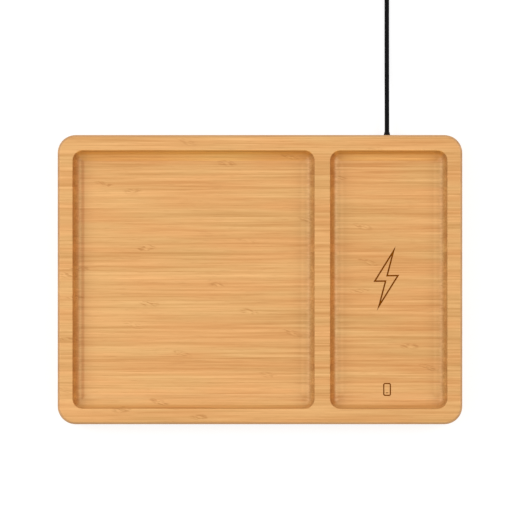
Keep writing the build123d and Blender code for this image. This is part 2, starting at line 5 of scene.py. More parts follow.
import bpy
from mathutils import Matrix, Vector


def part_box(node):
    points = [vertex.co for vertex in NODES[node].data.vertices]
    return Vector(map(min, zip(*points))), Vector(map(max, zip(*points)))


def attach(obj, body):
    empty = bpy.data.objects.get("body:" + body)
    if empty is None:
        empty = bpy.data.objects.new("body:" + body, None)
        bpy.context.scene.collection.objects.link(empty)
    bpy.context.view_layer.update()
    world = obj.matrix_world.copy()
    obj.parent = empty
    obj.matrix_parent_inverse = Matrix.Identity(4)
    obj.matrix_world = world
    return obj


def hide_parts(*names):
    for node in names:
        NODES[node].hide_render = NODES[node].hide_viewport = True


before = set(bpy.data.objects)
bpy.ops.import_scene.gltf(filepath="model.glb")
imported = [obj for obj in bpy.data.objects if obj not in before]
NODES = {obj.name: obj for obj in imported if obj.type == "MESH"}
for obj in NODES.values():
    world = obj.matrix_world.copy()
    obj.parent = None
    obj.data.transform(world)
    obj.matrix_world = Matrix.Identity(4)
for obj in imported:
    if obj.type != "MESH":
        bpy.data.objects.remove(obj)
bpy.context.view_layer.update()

MM = 0.001
TRAY_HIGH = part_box("bamboo_tray")[1]
BACK = TRAY_HIGH.y
CORD_D = 3.1 * MM
CHARGE_X = 84.4 * MM
LEAD_X = 84.9 * MM
POCKET_FLOOR = 12.0 * MM
POCKET_HALF_L = 85.9 * MM
POCKET_CORNER_R = 6.5 * MM
# each pocket's middle and half width along X
WIDE_POCKET = (-44.3 * MM, 80.4 * MM)
PHONE_POCKET = (85.9 * MM, 38.8 * MM)
DIVIDER_X = 41.6 * MM
MARK_DEPTH = 0.35 * MM


# ---------------------------------------------------------------- camera
def add_camera():
    """Looks straight down from well above, as a long lens does, with the tray below the middle."""
    view_width = 346.9 * MM
    view_middle_y = 13.1 * MM
    height = 5.0
    data = bpy.data.cameras.new("camera")
    data.sensor_width = 36.0
    data.lens = data.sensor_width * height / view_width
    data.clip_end = 50
    camera = bpy.data.objects.new("camera", data)
    camera.location = (0, view_middle_y, TRAY_HIGH.z + height)
    bpy.context.scene.collection.objects.link(camera)
    bpy.context.scene.camera = camera


add_camera()

# ---------------------------------------------------------------- the lead
CORD_ROUTE = [
    (LEAD_X, BACK, 6.55 * MM),
    (LEAD_X, 110.5 * MM, 6.55 * MM),
    (LEAD_X, 133.0 * MM, 3.2 * MM),
    (LEAD_X, 157.0 * MM, 1.55 * MM),
    (LEAD_X, 183.0 * MM, 1.65 * MM),
]
STORE_MID_R = 16.2 * MM
STORE_X = LEAD_X - STORE_MID_R - CORD_D
STORE_Y = 213.0 * MM
STORE_BOTTOM = 0.6 * MM
TAIL_Y = STORE_Y + STORE_MID_R + CORD_D / 2
PLUG_Z = 3.8 * MM
PLUG_ENTRY_X = 26.0 * MM
TAIL_ROUTE = [
    (51.0 * MM, TAIL_Y, 11.6 * MM),
    (42.0 * MM, TAIL_Y, 7.4 * MM),
    (34.0 * MM, TAIL_Y, PLUG_Z),
    (PLUG_ENTRY_X, TAIL_Y, PLUG_Z),
]
# each turn of the stored length: its column across the bundle in diameters, and its layer
STORE_TURNS = [(1, 0), (0, 0), (-1, 0), (-0.5, 1), (0.5, 1), (1, 2), (0, 2), (-1, 2), (-0.5, 3), (0.5, 3)]
LAYER_PITCH = 0.875 * CORD_D
POINTS_PER_TURN = 16
# in turns: how long a change of place takes, how long before the last whole turn's end it starts to
# climb, and how long the climb takes
CROSSOVER = 0.25
CLIMB_LEAD = 0.32
CLIMB_SPAN = 0.20


def smooth_step(t):
    """0 to 1 with level ends."""
    t = min(max(t, 0.0), 1.0)
    return t * t * (3 - 2 * t)


def stored_turns():
    """Control points of the wound length: each turn moves to the next one's place over its last quarter.

    The quarter turn after the last whole one lies on top of it, so the last turn climbs a diameter first.
    Where a turn changes layer, the turns round it cut into each other by up to half a diameter.
    """
    points = []
    steps = len(STORE_TURNS) * POINTS_PER_TURN + POINTS_PER_TURN // 4
    reach = 1 / math.cos(math.pi / POINTS_PER_TURN)
    for step in range(-1, steps):
        turn = (step + 0.5) / POINTS_PER_TURN
        here = max(int(turn), 0)
        column, layer = STORE_TURNS[min(here, len(STORE_TURNS) - 1)]
        next_column, next_layer = STORE_TURNS[min(here + 1, len(STORE_TURNS) - 1)]
        move = smooth_step((turn - here - 1 + CROSSOVER) / CROSSOVER)
        column += (next_column - column) * move
        layer += (next_layer - layer) * move
        angle = turn * 2 * math.pi
        radius = (STORE_MID_R + column * CORD_D) * reach
        climb = CORD_D * smooth_step((turn - len(STORE_TURNS) + CLIMB_LEAD) / CLIMB_SPAN)
        z = STORE_BOTTOM + CORD_D / 2 + layer * LAYER_PITCH + climb
        points.append((STORE_X + radius * math.cos(angle), STORE_Y + radius * math.sin(angle), z))
    past_top = (STORE_MID_R + CORD_D / 2) * math.tan(math.pi / POINTS_PER_TURN)
    points.append((STORE_X - past_top, TAIL_Y, points[-1][2]))
    return points


def add_cord():
    """The whole lead from the tray's back edge to its plug, as one smooth line.

    The points' radius holds the lead's radius, and the bevel is 1, so that the line's box is its real box.
    """
    data = bpy.data.curves.new("cord", "CURVE")
    data.dimensions = "3D"
    data.bevel_depth = 1.0
    data.bevel_resolution = 5
    data.resolution_u = 6
    data.use_fill_caps = True
    spline = data.splines.new("NURBS")
    points = CORD_ROUTE + stored_turns() + TAIL_ROUTE
    spline.points.add(len(points) - 1)
    for place, point in zip(points, spline.points):
        point.co = (*place, 1)
        point.radius = CORD_D / 2
    spline.order_u = 3
    spline.use_endpoint_u = True
    cord = bpy.data.objects.new("cord", data)
    bpy.context.scene.collection.objects.link(cord)
    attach(cord, "root")
    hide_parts("cord_run", "cord_coil", "cord_tail")
    return cord


cord = add_cord()


# ---------------------------------------------------------------- pieces on the lead and under the tray
def add_mesh(name, rings, slot, *nodes):
    """A skin over rings of equal length, its two ends closed, in place of the named CAD nodes."""
    count = len(rings[0])
    vertices = [place for ring in rings for place in ring]
    faces = []
    for row in range(len(rings) - 1):
        for spot in range(count):
            following = (spot + 1) % count
            faces.append((row * count + spot, row * count + following,
                          (row + 1) * count + following, (row + 1) * count + spot))
    faces.append(tuple(reversed(range(count))))
    faces.append(tuple(range(len(vertices) - count, len(vertices))))
    mesh = bpy.data.meshes.new(name)
    mesh.from_pydata(vertices, [], faces)
    mesh.validate()
    for polygon in mesh.polygons:
        polygon.use_smooth = len(polygon.vertices) == 4
    piece = bpy.data.objects.new(name, mesh)
    bpy.context.scene.collection.objects.link(piece)
    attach(piece, "root")
    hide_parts(*nodes)
    return piece


def super_ring(count, half_y, half_z, power):
    """Places round a squared-off oval: power 2 is an ellipse, and larger is squarer."""
    places = []
    for spot in range(count):
        angle = 2 * math.pi * (spot + 0.5) / count
        c, s = math.cos(angle), math.sin(angle)
        stretch = (abs(c) ** power + abs(s) ** power) ** (-1 / power)
        places.append((half_y * c * stretch, half_z * s * stretch))
    return places


def blend(t, low, high):
    """From low to high as t goes from 0 to 1, with level ends."""
    return low + (high - low) * smooth_step(t)


NECK_L = 8.0 * MM
NECK_THIN_R = 2.0 * MM
NECK_WIDE_R = 2.75 * MM
RIB_PITCH = 1.6 * MM
RIB_H = 0.28 * MM
GRIP_L = 20.0 * MM
GRIP_START_R = 2.9 * MM
GRIP_SWELL_L = 3.0 * MM
GRIP_HALF_W = 7.7 * MM
GRIP_HALF_T = 3.8 * MM
GRIP_EDGE_R = 0.8 * MM
WAIST = 0.55 * MM
PAD_MIDDLE = 10.5 * MM
PAD_HALF_L = 5.5 * MM
PAD_HALF_W = 5.0 * MM
PAD_DEPTH = 0.34 * MM
RIDGE_H = 0.26 * MM
RIDGE_PITCH = 1.5 * MM
SHELL_HALF_W = 6.0 * MM
SHELL_HALF_T = 2.25 * MM
SHELL_IN_GRIP = 14.0 * MM
MOUTH_PLAY = 0.08 * MM
MOUTH_CHAMFER = 0.35 * MM


def neck_shape(s):
    """The ribbed neck's half width, half thickness and squareness, s from where the lead enters."""
    t = s / NECK_L
    rib = 0.5 - 0.5 * math.cos(2 * math.pi * s / RIB_PITCH)
    ribbed = 0.08 < t < 0.9
    half = blend(t, NECK_THIN_R, NECK_WIDE_R) + (RIB_H * rib if ribbed else 0)
    return half, half, 2.0


def body_shape(s):
    """The same for the body: it swells from the neck, narrows to a waist and ends in a rounded edge."""
    t = (s - NECK_L) / GRIP_SWELL_L
    waist = math.sin(math.pi * min(max((s - NECK_L - 2 * MM) / (GRIP_L - 3 * MM), 0), 1))
    edge = max(0.0, 1 - (NECK_L + GRIP_L - s) / GRIP_EDGE_R)
    round_off = GRIP_EDGE_R * (1 - math.sqrt(max(1 - edge * edge, 0)))
    half_y = blend(t, GRIP_START_R, GRIP_HALF_W) - WAIST * waist ** 2 - round_off
    half_z = blend(t, GRIP_START_R, GRIP_HALF_T) - round_off
    return half_y, half_z, blend(t, 2.0, 4.6)


def pad_dip(s, y):
    """How far the surface sinks at a place on a ridged thumb pad."""
    along = (s - NECK_L - PAD_MIDDLE) / PAD_HALF_L
    across = y / PAD_HALF_W
    pad = smooth_step(2.2 * (1 - math.sqrt(along * along + across * across)))
    ridge = 0.5 + 0.5 * math.cos(2 * math.pi * (s - NECK_L) / RIDGE_PITCH)
    return pad * (PAD_DEPTH - RIDGE_H * ridge)


def add_plug_grip():
    """The moulded grip: a ribbed neck that swells into a waisted body with ridged thumb pads."""
    around = 96
    step = 0.2 * MM
    end = NECK_L + GRIP_L
    rings = []
    for row in range(int(round(end / step)) + 1):
        s = row * step
        half_y, half_z, power = neck_shape(s) if s < NECK_L else body_shape(s)
        ring = []
        for y, z in super_ring(around, half_y, half_z, power):
            if abs(z) > 0.6 * half_z:
                z -= math.copysign(pad_dip(s, y), z)
            ring.append((PLUG_ENTRY_X - s, TAIL_Y - y, PLUG_Z + z))
        rings.append(ring)
    # the front face, with the mouth that holds the shell over its whole hidden length
    outer = (SHELL_HALF_W + MOUTH_CHAMFER, SHELL_HALF_T + MOUTH_CHAMFER, 12)
    inner = (SHELL_HALF_W + MOUTH_PLAY, SHELL_HALF_T + MOUTH_PLAY, 40)
    for shape, depth in ((outer, 0.0), (inner, 0.25 * MM), (inner, SHELL_IN_GRIP + 0.05 * MM)):
        x = PLUG_ENTRY_X - end + depth
        ring = super_ring(around, *shape)
        rings.append([(x, TAIL_Y - y, PLUG_Z + z) for y, z in ring])
    return add_mesh("plug_grip_moulded", rings, "grip_plastic", "plug_grip")


TIE_T = 0.5 * MM
# where the strap goes round the bundle, in degrees round the coil
TIE_HALF_SPAN = 14.0
TIE_MIDDLE = 228.0
TIE_LOW = 0.02 * MM
TIE_TOP = STORE_BOTTOM + CORD_D + 3 * LAYER_PITCH + 0.1 * MM
TIE_HALF_H = (TIE_TOP - TIE_LOW - TIE_T) / 2


def tie_line(steps):
    """The strap's middle line across the bundle: how far out from the coil's middle circle, and up."""
    lap = 1.27
    lift_start = 0.90
    lift_over = 0.12
    lap_lift = 1.08 * TIE_T
    end_gap = 0.35 * MM
    loose_over = 0.05
    half_w = 1.5 * CORD_D + 0.15 * MM
    power = 2 * TIE_HALF_H / (CORD_D / 2)
    line = []
    for step in range(steps + 1):
        turn = lap * step / steps
        angle = 0.5 * math.pi - 2 * math.pi * turn
        c, s = math.cos(angle), math.sin(angle)
        # a rounded box, walked by direction as a squared oval
        stretch = (abs(c) ** power + abs(s) ** power) ** (-1 / power)
        lift = lap_lift * smooth_step((turn - lift_start) / lift_over)
        loose = end_gap * max(0.0, (turn - lap + loose_over) / loose_over) ** 2
        out = TIE_T / 2 + lift + loose
        line.append(((half_w + out) * c * stretch, (TIE_HALF_H + out) * s * stretch))
    return line


def add_tie():
    """The hook-and-loop strap: once round the bundle, its end laid over its start and a little loose."""
    steps = 150
    columns = 14
    middle_z = TIE_LOW + TIE_T + TIE_HALF_H
    line = tie_line(steps)
    rings = []
    for index, (u, v) in enumerate(line):
        before = line[max(index - 1, 0)]
        after = line[min(index + 1, steps)]
        du, dv = after[0] - before[0], after[1] - before[1]
        size = math.hypot(du, dv)
        nu, nv = dv / size * TIE_T / 2, -du / size * TIE_T / 2
        span = TIE_HALF_SPAN * (1 - 0.04 * math.sin(0.35 * index))
        ring = []
        for side in (1, -1):
            for column in range(columns + 1):
                share = column / columns if side == 1 else 1 - column / columns
                angle = math.radians(TIE_MIDDLE + (2 * share - 1) * span)
                thin = 1 - 0.35 * abs(2 * share - 1) ** 6
                radius = STORE_MID_R + u + side * nu * thin
                z = middle_z + v + side * nv * thin
                x = STORE_X + radius * math.cos(angle)
                y = STORE_Y + radius * math.sin(angle)
                ring.append((x, y, max(z, 0)))
        rings.append(ring)
    return add_mesh("tie_strap", rings, "tie_fabric", "cord_tie")


def add_foot(name):
    """A moulded rubber foot: a rounded rim, two grooves and a shallow dish."""
    around = 72
    low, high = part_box(name)
    middle = (low + high) / 2
    # radius and height in millimetres, from the top of its side round its edge to the dish's middle
    outline = [(4.9, 2.3), (5.35, 2.25), (5.5, 2.1), (5.5, 0.55), (5.43, 0.28), (5.25, 0.1), (5.0, 0.0)]
    for groove in (4.2, 3.2):
        outline += [(groove + 0.22, 0.0), (groove + 0.15, 0.12), (groove + 0.06, 0.26),
                    (groove - 0.06, 0.26), (groove - 0.15, 0.12), (groove - 0.22, 0.0)]
    outline += [(2.5, 0.0), (2.3, 0.06), (1.6, 0.2), (0.8, 0.28), (0.15, 0.3)]
    rings = []
    for radius, z in outline:
        ring = []
        for spot in range(around):
            angle = -2 * math.pi * spot / around
            x = middle.x + radius * MM * math.cos(angle)
            y = middle.y + radius * MM * math.sin(angle)
            ring.append((x, y, z * MM))
        rings.append(ring)
    return add_mesh(name + "_rubber", rings, "foot_rubber", name)


FEET = ("foot_front_left", "foot_front_right", "foot_back_left", "foot_back_right")
grip = add_plug_grip()
tie = add_tie()
feet = [add_foot(name) for name in FEET]


# ---------------------------------------------------------------- light and stage
def add_area_light(name, place, size, power):
    """A white, square soft box that faces the middle of the tray."""
    data = bpy.data.lights.new(name, "AREA")
    data.shape = "SQUARE"
    data.size = size
    data.energy = power
    lamp = bpy.data.objects.new(name, data)
    lamp.location = place
    lamp.rotation_euler = (-Vector(place)).to_track_quat("-Z", "Y").to_euler()
    bpy.context.scene.collection.objects.link(lamp)


def add_room():
    """Even light from all round, brighter overhead than at the horizon."""
    horizon = 0.34
    overhead = 0.72
    world = bpy.data.worlds.new("room")
    world.use_nodes = True
    tree = world.node_tree
    place = tree.nodes.new("ShaderNodeTexCoord")
    split = tree.nodes.new("ShaderNodeSeparateXYZ")
    rise = tree.nodes.new("ShaderNodeMapRange")
    rise.inputs["From Min"].default_value = -0.1
    rise.inputs["From Max"].default_value = 0.8
    rise.inputs["To Min"].default_value = horizon
    rise.inputs["To Max"].default_value = overhead
    tree.links.new(place.outputs["Generated"], split.inputs[0])
    tree.links.new(split.outputs["Z"], rise.inputs["Value"])
    tree.links.new(rise.outputs[0], tree.nodes["Background"].inputs["Strength"])
    tree.nodes["Background"].inputs["Color"].default_value = (1, 1, 1, 1)
    bpy.context.scene.world = world


def add_stage():
    """A white sheet under the object, which glows a little so that it stays white, and the room's light."""
    half = 4.0
    grey = 0.25
    glow = 0.78
    mesh = bpy.data.meshes.new("floor")
    corners = [(-half, -half, 0), (half, -half, 0), (half, half, 0), (-half, half, 0)]
    mesh.from_pydata(corners, [], [(0, 1, 2, 3)])
    floor = bpy.data.objects.new("floor", mesh)
    bpy.context.scene.collection.objects.link(floor)
    material = bpy.data.materials.new("floor_paper")
    material.use_nodes = True
    shader = material.node_tree.nodes["Principled BSDF"]
    shader.inputs["Base Color"].default_value = (grey, grey, grey, 1)
    shader.inputs["Roughness"].default_value = 0.9
    shader.inputs["Specular IOR Level"].default_value = 0.1
    shader.inputs["Emission Color"].default_value = (1, 1, 1, 1)
    shader.inputs["Emission Strength"].default_value = glow
    mesh.materials.append(material)
    add_room()
    bpy.context.scene.view_settings.view_transform = "Standard"


add_stage()
add_area_light("key", (-1.50, 0.36, 1.22), size=1.14, power=21.2)
add_area_light("fill", (1.50, 0.30, 1.22), size=1.14, power=17.6)
add_area_light("front", (0.45, -1.15, 0.80), size=0.60, power=0.7)


# ---------------------------------------------------------------- material helpers
class Graph:
    """A material's node tree, with short calls for the nodes that the finishes below use."""

    def __init__(self, name):
        self.material = bpy.data.materials.new(name)
        self.material.use_nodes = True
        self.tree = self.material.node_tree
        self.tree.nodes.clear()
        self.place = self.add("ShaderNodeTexCoord").outputs["Object"]

    def add(self, kind, inputs=(), **settings):
        """A node with its settings, its inputs linked or set."""
        node = self.tree.nodes.new(kind)
        for key, value in settings.items():
            setattr(node, key, value)
        for key, value in dict(inputs).items():
            if isinstance(value, bpy.types.NodeSocket):
                self.tree.links.new(value, node.inputs[key])
            else:
                node.inputs[key].default_value = value
        return node

    def math(self, operation, a, b=0.0, c=0.0):
        return self.add("ShaderNodeMath", {0: a, 1: b, 2: c}, operation=operation).outputs[0]

    def scaled(self, vector, factors, shift=(0, 0, 0)):
        """A vector with each part times its own factor, then shifted."""
        node = self.add("ShaderNodeVectorMath", {0: vector, 1: factors, 2: shift}, operation="MULTIPLY_ADD")
        return node.outputs[0]

    def split(self, vector):
        return self.add("ShaderNodeSeparateXYZ", {0: vector}).outputs

    def joined(self, x, y, z):
        return self.add("ShaderNodeCombineXYZ", {0: x, 1: y, 2: z}).outputs[0]

    def noise(self, vector, scale=1.0, detail=2.0, rough=0.5):
        inputs = {"Vector": vector, "Scale": scale, "Detail": detail, "Roughness": rough}
        return self.add("ShaderNodeTexNoise", inputs).outputs[0]

    def voronoi(self, vector, scale=1.0, feature="F1"):
        node = self.add("ShaderNodeTexVoronoi", {"Vector": vector, "Scale": scale}, feature=feature)
        return node.outputs["Distance"]

    def span(self, value, low, high, to_low=0.0, to_high=1.0, smooth=False):
        """Maps a range to another, clamped."""
        kind = "SMOOTHSTEP" if smooth else "LINEAR"
        inputs = {"Value": value, "From Min": low, "From Max": high, "To Min": to_low, "To Max": to_high}
        return self.add("ShaderNodeMapRange", inputs, interpolation_type=kind).outputs[0]

    def mix(self, amount, a, b, blend="MIX"):
        node = self.add("ShaderNodeMix", data_type="RGBA", blend_type=blend, clamp_factor=True)
        for key, value in ((0, amount), (6, a), (7, b)):
            if isinstance(value, bpy.types.NodeSocket):
                self.tree.links.new(value, node.inputs[key])
            else:
                node.inputs[key].default_value = value if key == 0 else (*value, 1)
        return node.outputs[2]

    def bump(self, height, distance, strength):
        inputs = {"Height": height, "Distance": distance, "Strength": strength}
        return self.add("ShaderNodeBump", inputs).outputs[0]

    def finish(self, colour, roughness, normal, **sockets):
        """The surface itself: what varies is linked, and what doesn't is set on the shader."""
        inputs = {"Base Color": colour, "Roughness": roughness, "Normal": normal}
        inputs.update({key.replace("_", " "): value for key, value in sockets.items()})
        shader = self.add("ShaderNodeBsdfPrincipled", inputs)
        self.add("ShaderNodeOutputMaterial", {"Surface": shader.outputs[0]})
        return self.material


def pocket_depth(g, x, y):
    """Where a point lies in its pocket, seen from above.

    Gives its distance inside the mouth, then 1 beside a left or right wall or 0 beside a front or back
    one, then 1 in the left half of the pocket, and last 1 in the phone pocket.
    """
    second = g.math("GREATER_THAN", x, DIVIDER_X)
    middle = g.math("MULTIPLY_ADD", second, PHONE_POCKET[0] - WIDE_POCKET[0], WIDE_POCKET[0])
    wider = PHONE_POCKET[1] - WIDE_POCKET[1]
    half = g.math("MULTIPLY_ADD", second, wider, WIDE_POCKET[1] - POCKET_CORNER_R)
    offset = g.math("SUBTRACT", x, middle)
    out_x = g.math("SUBTRACT", g.math("ABSOLUTE", offset), half)
    out_y = g.math("SUBTRACT", g.math("ABSOLUTE", y), POCKET_HALF_L - POCKET_CORNER_R)
    past_x = g.math("MAXIMUM", out_x, 0.0)
    past_y = g.math("MAXIMUM", out_y, 0.0)
    square_x = g.math("MULTIPLY", past_x, past_x)
    past = g.math("SQRT", g.math("ADD", square_x, g.math("MULTIPLY", past_y, past_y)))
    within = g.math("MINIMUM", g.math("MAXIMUM", out_x, out_y), 0.0)
    depth = g.math("SUBTRACT", POCKET_CORNER_R, g.math("ADD", past, within))
    beside = g.span(g.math("SUBTRACT", out_x, out_y), -1.5 * MM, 1.5 * MM, smooth=True)
    return depth, beside, g.math("LESS_THAN", offset, 0.0), second


def shaded(g, colour, tint, *masks):
    """A colour multiplied by a tint, as far as all the masks allow it."""
    amount = masks[0]
    for mask in masks[1:]:
        amount = g.math("MULTIPLY", amount, mask)
    return g.mix(amount, colour, tint, "MULTIPLY")


def strips(g, y):
    """Strips of slightly different widths: the place across one, and its own four random numbers."""
    strip_w = 4.7 * MM
    wander = 4.0 * MM
    sway = g.noise(g.joined(0.0, y, 0.0), 90.0, 1.0)
    strip = g.math("DIVIDE", g.math("MULTIPLY_ADD", g.math("SUBTRACT", sway, 0.5), wander, y), strip_w)
    number = g.math("FLOOR", strip)
    luck = g.add("ShaderNodeTexWhiteNoise", {"W": number}, noise_dimensions="1D")
    luck_a, luck_b, luck_c = g.split(luck.outputs["Color"])
    other = {"W": g.math("ADD", number, 0.37)}
    faint = g.add("ShaderNodeTexWhiteNoise", other, noise_dimensions="1D").outputs[0]
    return g.math("FRACT", strip), luck_a, luck_b, luck_c, faint


def knots(g, x, across, luck_a, luck_c, seen):
    """The nodes of the cane: their place, the small pale wedge in each, and how far fibres swerve there."""
    spacing = 0.27
    half_l = 8.0 * MM
    along = g.math("FRACT", g.math("ADD", g.math("DIVIDE", x, spacing), g.math("MULTIPLY", luck_c, 7.3)))
    off = g.math("MULTIPLY", g.math("SUBTRACT", along, 0.5), spacing / half_l)
    side = g.math("MULTIPLY", g.math("SUBTRACT", across, 0.5), 2.0)
    slant = g.math("MULTIPLY_ADD", off, g.math("MULTIPLY_ADD", luck_a, 1.6, -0.3), side)
    away = g.math("ADD", g.math("MULTIPLY", off, off), g.math("MULTIPLY", slant, slant))
    knot = g.math("MULTIPLY", g.span(away, 1.0, 0.2, smooth=True), seen)
    wedge_x = g.math("MULTIPLY_ADD", off, 4.2, g.math("MULTIPLY", side, 1.2))
    wedge_y = g.math("MULTIPLY", g.math("ADD", slant, 0.15), 2.6)
    wedge = g.math("ADD", g.math("MULTIPLY", wedge_x, wedge_x), g.math("MULTIPLY", wedge_y, wedge_y))
    core = g.math("MULTIPLY", g.span(wedge, 1.0, 0.0, smooth=True), seen)
    swerve = g.math("MULTIPLY", g.math("MULTIPLY", knot, side), 0.7 * MM)
    return knot, core, swerve


def fibres(g, x, bent_y, z, luck_a):
    """Noises drawn out along the strips: long streaks, finer lines, wide bands and short flecks."""
    own = g.math("MULTIPLY", luck_a, 9.0)
    grain = g.joined(g.math("MULTIPLY_ADD", x, 12.0, own), g.math("MULTIPLY", bent_y, 560.0),
                     g.math("MULTIPLY", z, 560.0))
    streak = g.noise(grain, 1.0, 2.0, 0.55)
    fine = g.noise(g.scaled(grain, (2.0, 2.3, 2.3)), 1.0, 3.0, 0.6)
    band = g.noise(g.scaled(grain, (0.45, 0.27, 0.27), (1.0, 4.0, 2.0)), 1.0, 1.0)
    fleck = g.span(g.noise(g.scaled(grain, (9.0, 5.0, 5.0)), 1.0, 1.0), 0.60, 0.74)
    return streak, fine, band, fleck


def fibre_colour(g, x, streak, fine, band, luck_b):
    """The wood between pale and dark, by how the noises along the strip add up, in two close hues."""
    hue = g.noise(g.scaled(g.place, (16.0, 120.0, 120.0), (3.0, 5.0, 7.0)), 1.0, 1.0)
    broad = g.noise(g.scaled(g.place, (5.0, 22.0, 22.0)), 1.0, 2.0)
    tone = g.math("MULTIPLY", luck_b, 0.13)
    # the tone also darkens slowly towards +X
    for part, weight in ((streak, 1.10), (fine, 0.58), (band, 0.38), (broad, 0.18), (x, 0.3)):
        tone = g.math("MULTIPLY_ADD", part, weight, tone)
    redder = g.span(hue, 0.34, 0.66)
    pale = g.mix(redder, (0.757, 0.444, 0.180), (0.772, 0.421, 0.168))
    dark = g.mix(redder, (0.510, 0.259, 0.083), (0.524, 0.238, 0.073))
    return g.mix(g.span(tone, 0.76, 1.52), pale, dark)


def down_to(g, depth, full, gone):
    """1 from the rim down to one depth, fading out by the other, both in millimetres."""
    return g.span(depth, gone * MM, full * MM, smooth=True)


def between(g, depth, start, full, fading, gone):
    """1 in a range of depths with soft ends, all in millimetres."""
    return g.math("MULTIPLY", g.span(depth, start * MM, full * MM, smooth=True),
                  down_to(g, depth, fading, gone))


def painted_wall_light(g, colour, y, z, depth, beside, left, phone):
    """The pockets' walls: each side has its own tints of painted shade and painted highlight, set to match
    the tray seen from above.

    Side walls are the left and right ones, and cross walls the front and back ones.
    """
    above_floor = g.span(z, POCKET_FLOOR - 0.5 * MM, POCKET_FLOOR - 0.1 * MM)
    wall = g.math("MULTIPLY", above_floor, g.span(depth, -0.75 * MM, -0.15 * MM))
    side_wall = g.math("MULTIPLY", wall, beside)
    cross_wall = g.math("SUBTRACT", wall, side_wall)
    right = g.math("SUBTRACT", 1.0, left)
    wide = g.math("SUBTRACT", 1.0, phone)
    back = g.math("GREATER_THAN", y, 0.0)
    front = g.math("SUBTRACT", 1.0, back)
    # the left lip's painted shade is narrower in the phone pocket, and only there has the left wall a
    # painted highlight on its cove
    left_lip_shade = g.span(depth, g.math("MULTIPLY_ADD", phone, -1.0 * MM, 4.6 * MM),
                      g.math("MULTIPLY_ADD", phone, -0.8 * MM, 2.8 * MM), smooth=True)
    left_foot_shadow = between(g, depth, 4.8, 6.0, 6.8, 7.9)
    right_lip_shade = down_to(g, depth, 2.2, 3.6)
    side_cove_highlight = between(g, depth, 3.0, 3.9, 7.4, 9.6)
    cross_lip_shade = down_to(g, depth, 1.4, 3.6)
    front_cove_highlight = between(g, depth, 5.4, 6.8, 8.6, 10.4)
    back_cove_shade = down_to(g, depth, 6.2, 6.9)
    # tints below 1 paint shade and a shadow at the left foot, and tints above 1 paint highlights on the
    # coves
    painted_tints = (
        ((0.80, 0.625, 0.38), side_wall, left, left_lip_shade),
        ((0.88, 0.79, 0.74), side_wall, left, wide, left_foot_shadow),
        ((0.88, 0.855, 0.735), side_wall, right, right_lip_shade),
        ((1.09, 1.13, 1.17), side_wall, g.math("MAXIMUM", right, phone), side_cove_highlight),
        ((0.98, 0.875, 0.63), cross_wall, back, cross_lip_shade),
        ((0.86, 0.79, 0.67), cross_wall, front, cross_lip_shade),
        ((1.08, 1.15, 1.25), cross_wall, front, front_cove_highlight),
        ((1.00, 0.955, 0.76), cross_wall, back, back_cove_shade),
    )
    for tint, *masks in painted_tints:
        colour = shaded(g, colour, tint, *masks)
    return colour


def burnt_marks(g, x, y, z):
    """1 on the burnt marks, which are the only surfaces just under the pocket's floor."""
    low = g.math("GREATER_THAN", z, POCKET_FLOOR - MARK_DEPTH - 0.05 * MM)
    high = g.math("LESS_THAN", z, POCKET_FLOOR - 0.03 * MM)
    near = g.math("LESS_THAN", g.math("ABSOLUTE", g.math("SUBTRACT", x, CHARGE_X)), 14.0 * MM)
    inside = g.math("LESS_THAN", g.math("ABSOLUTE", y), 84.0 * MM)
    return g.math("MULTIPLY", g.math("MULTIPLY", low, high), g.math("MULTIPLY", near, inside))


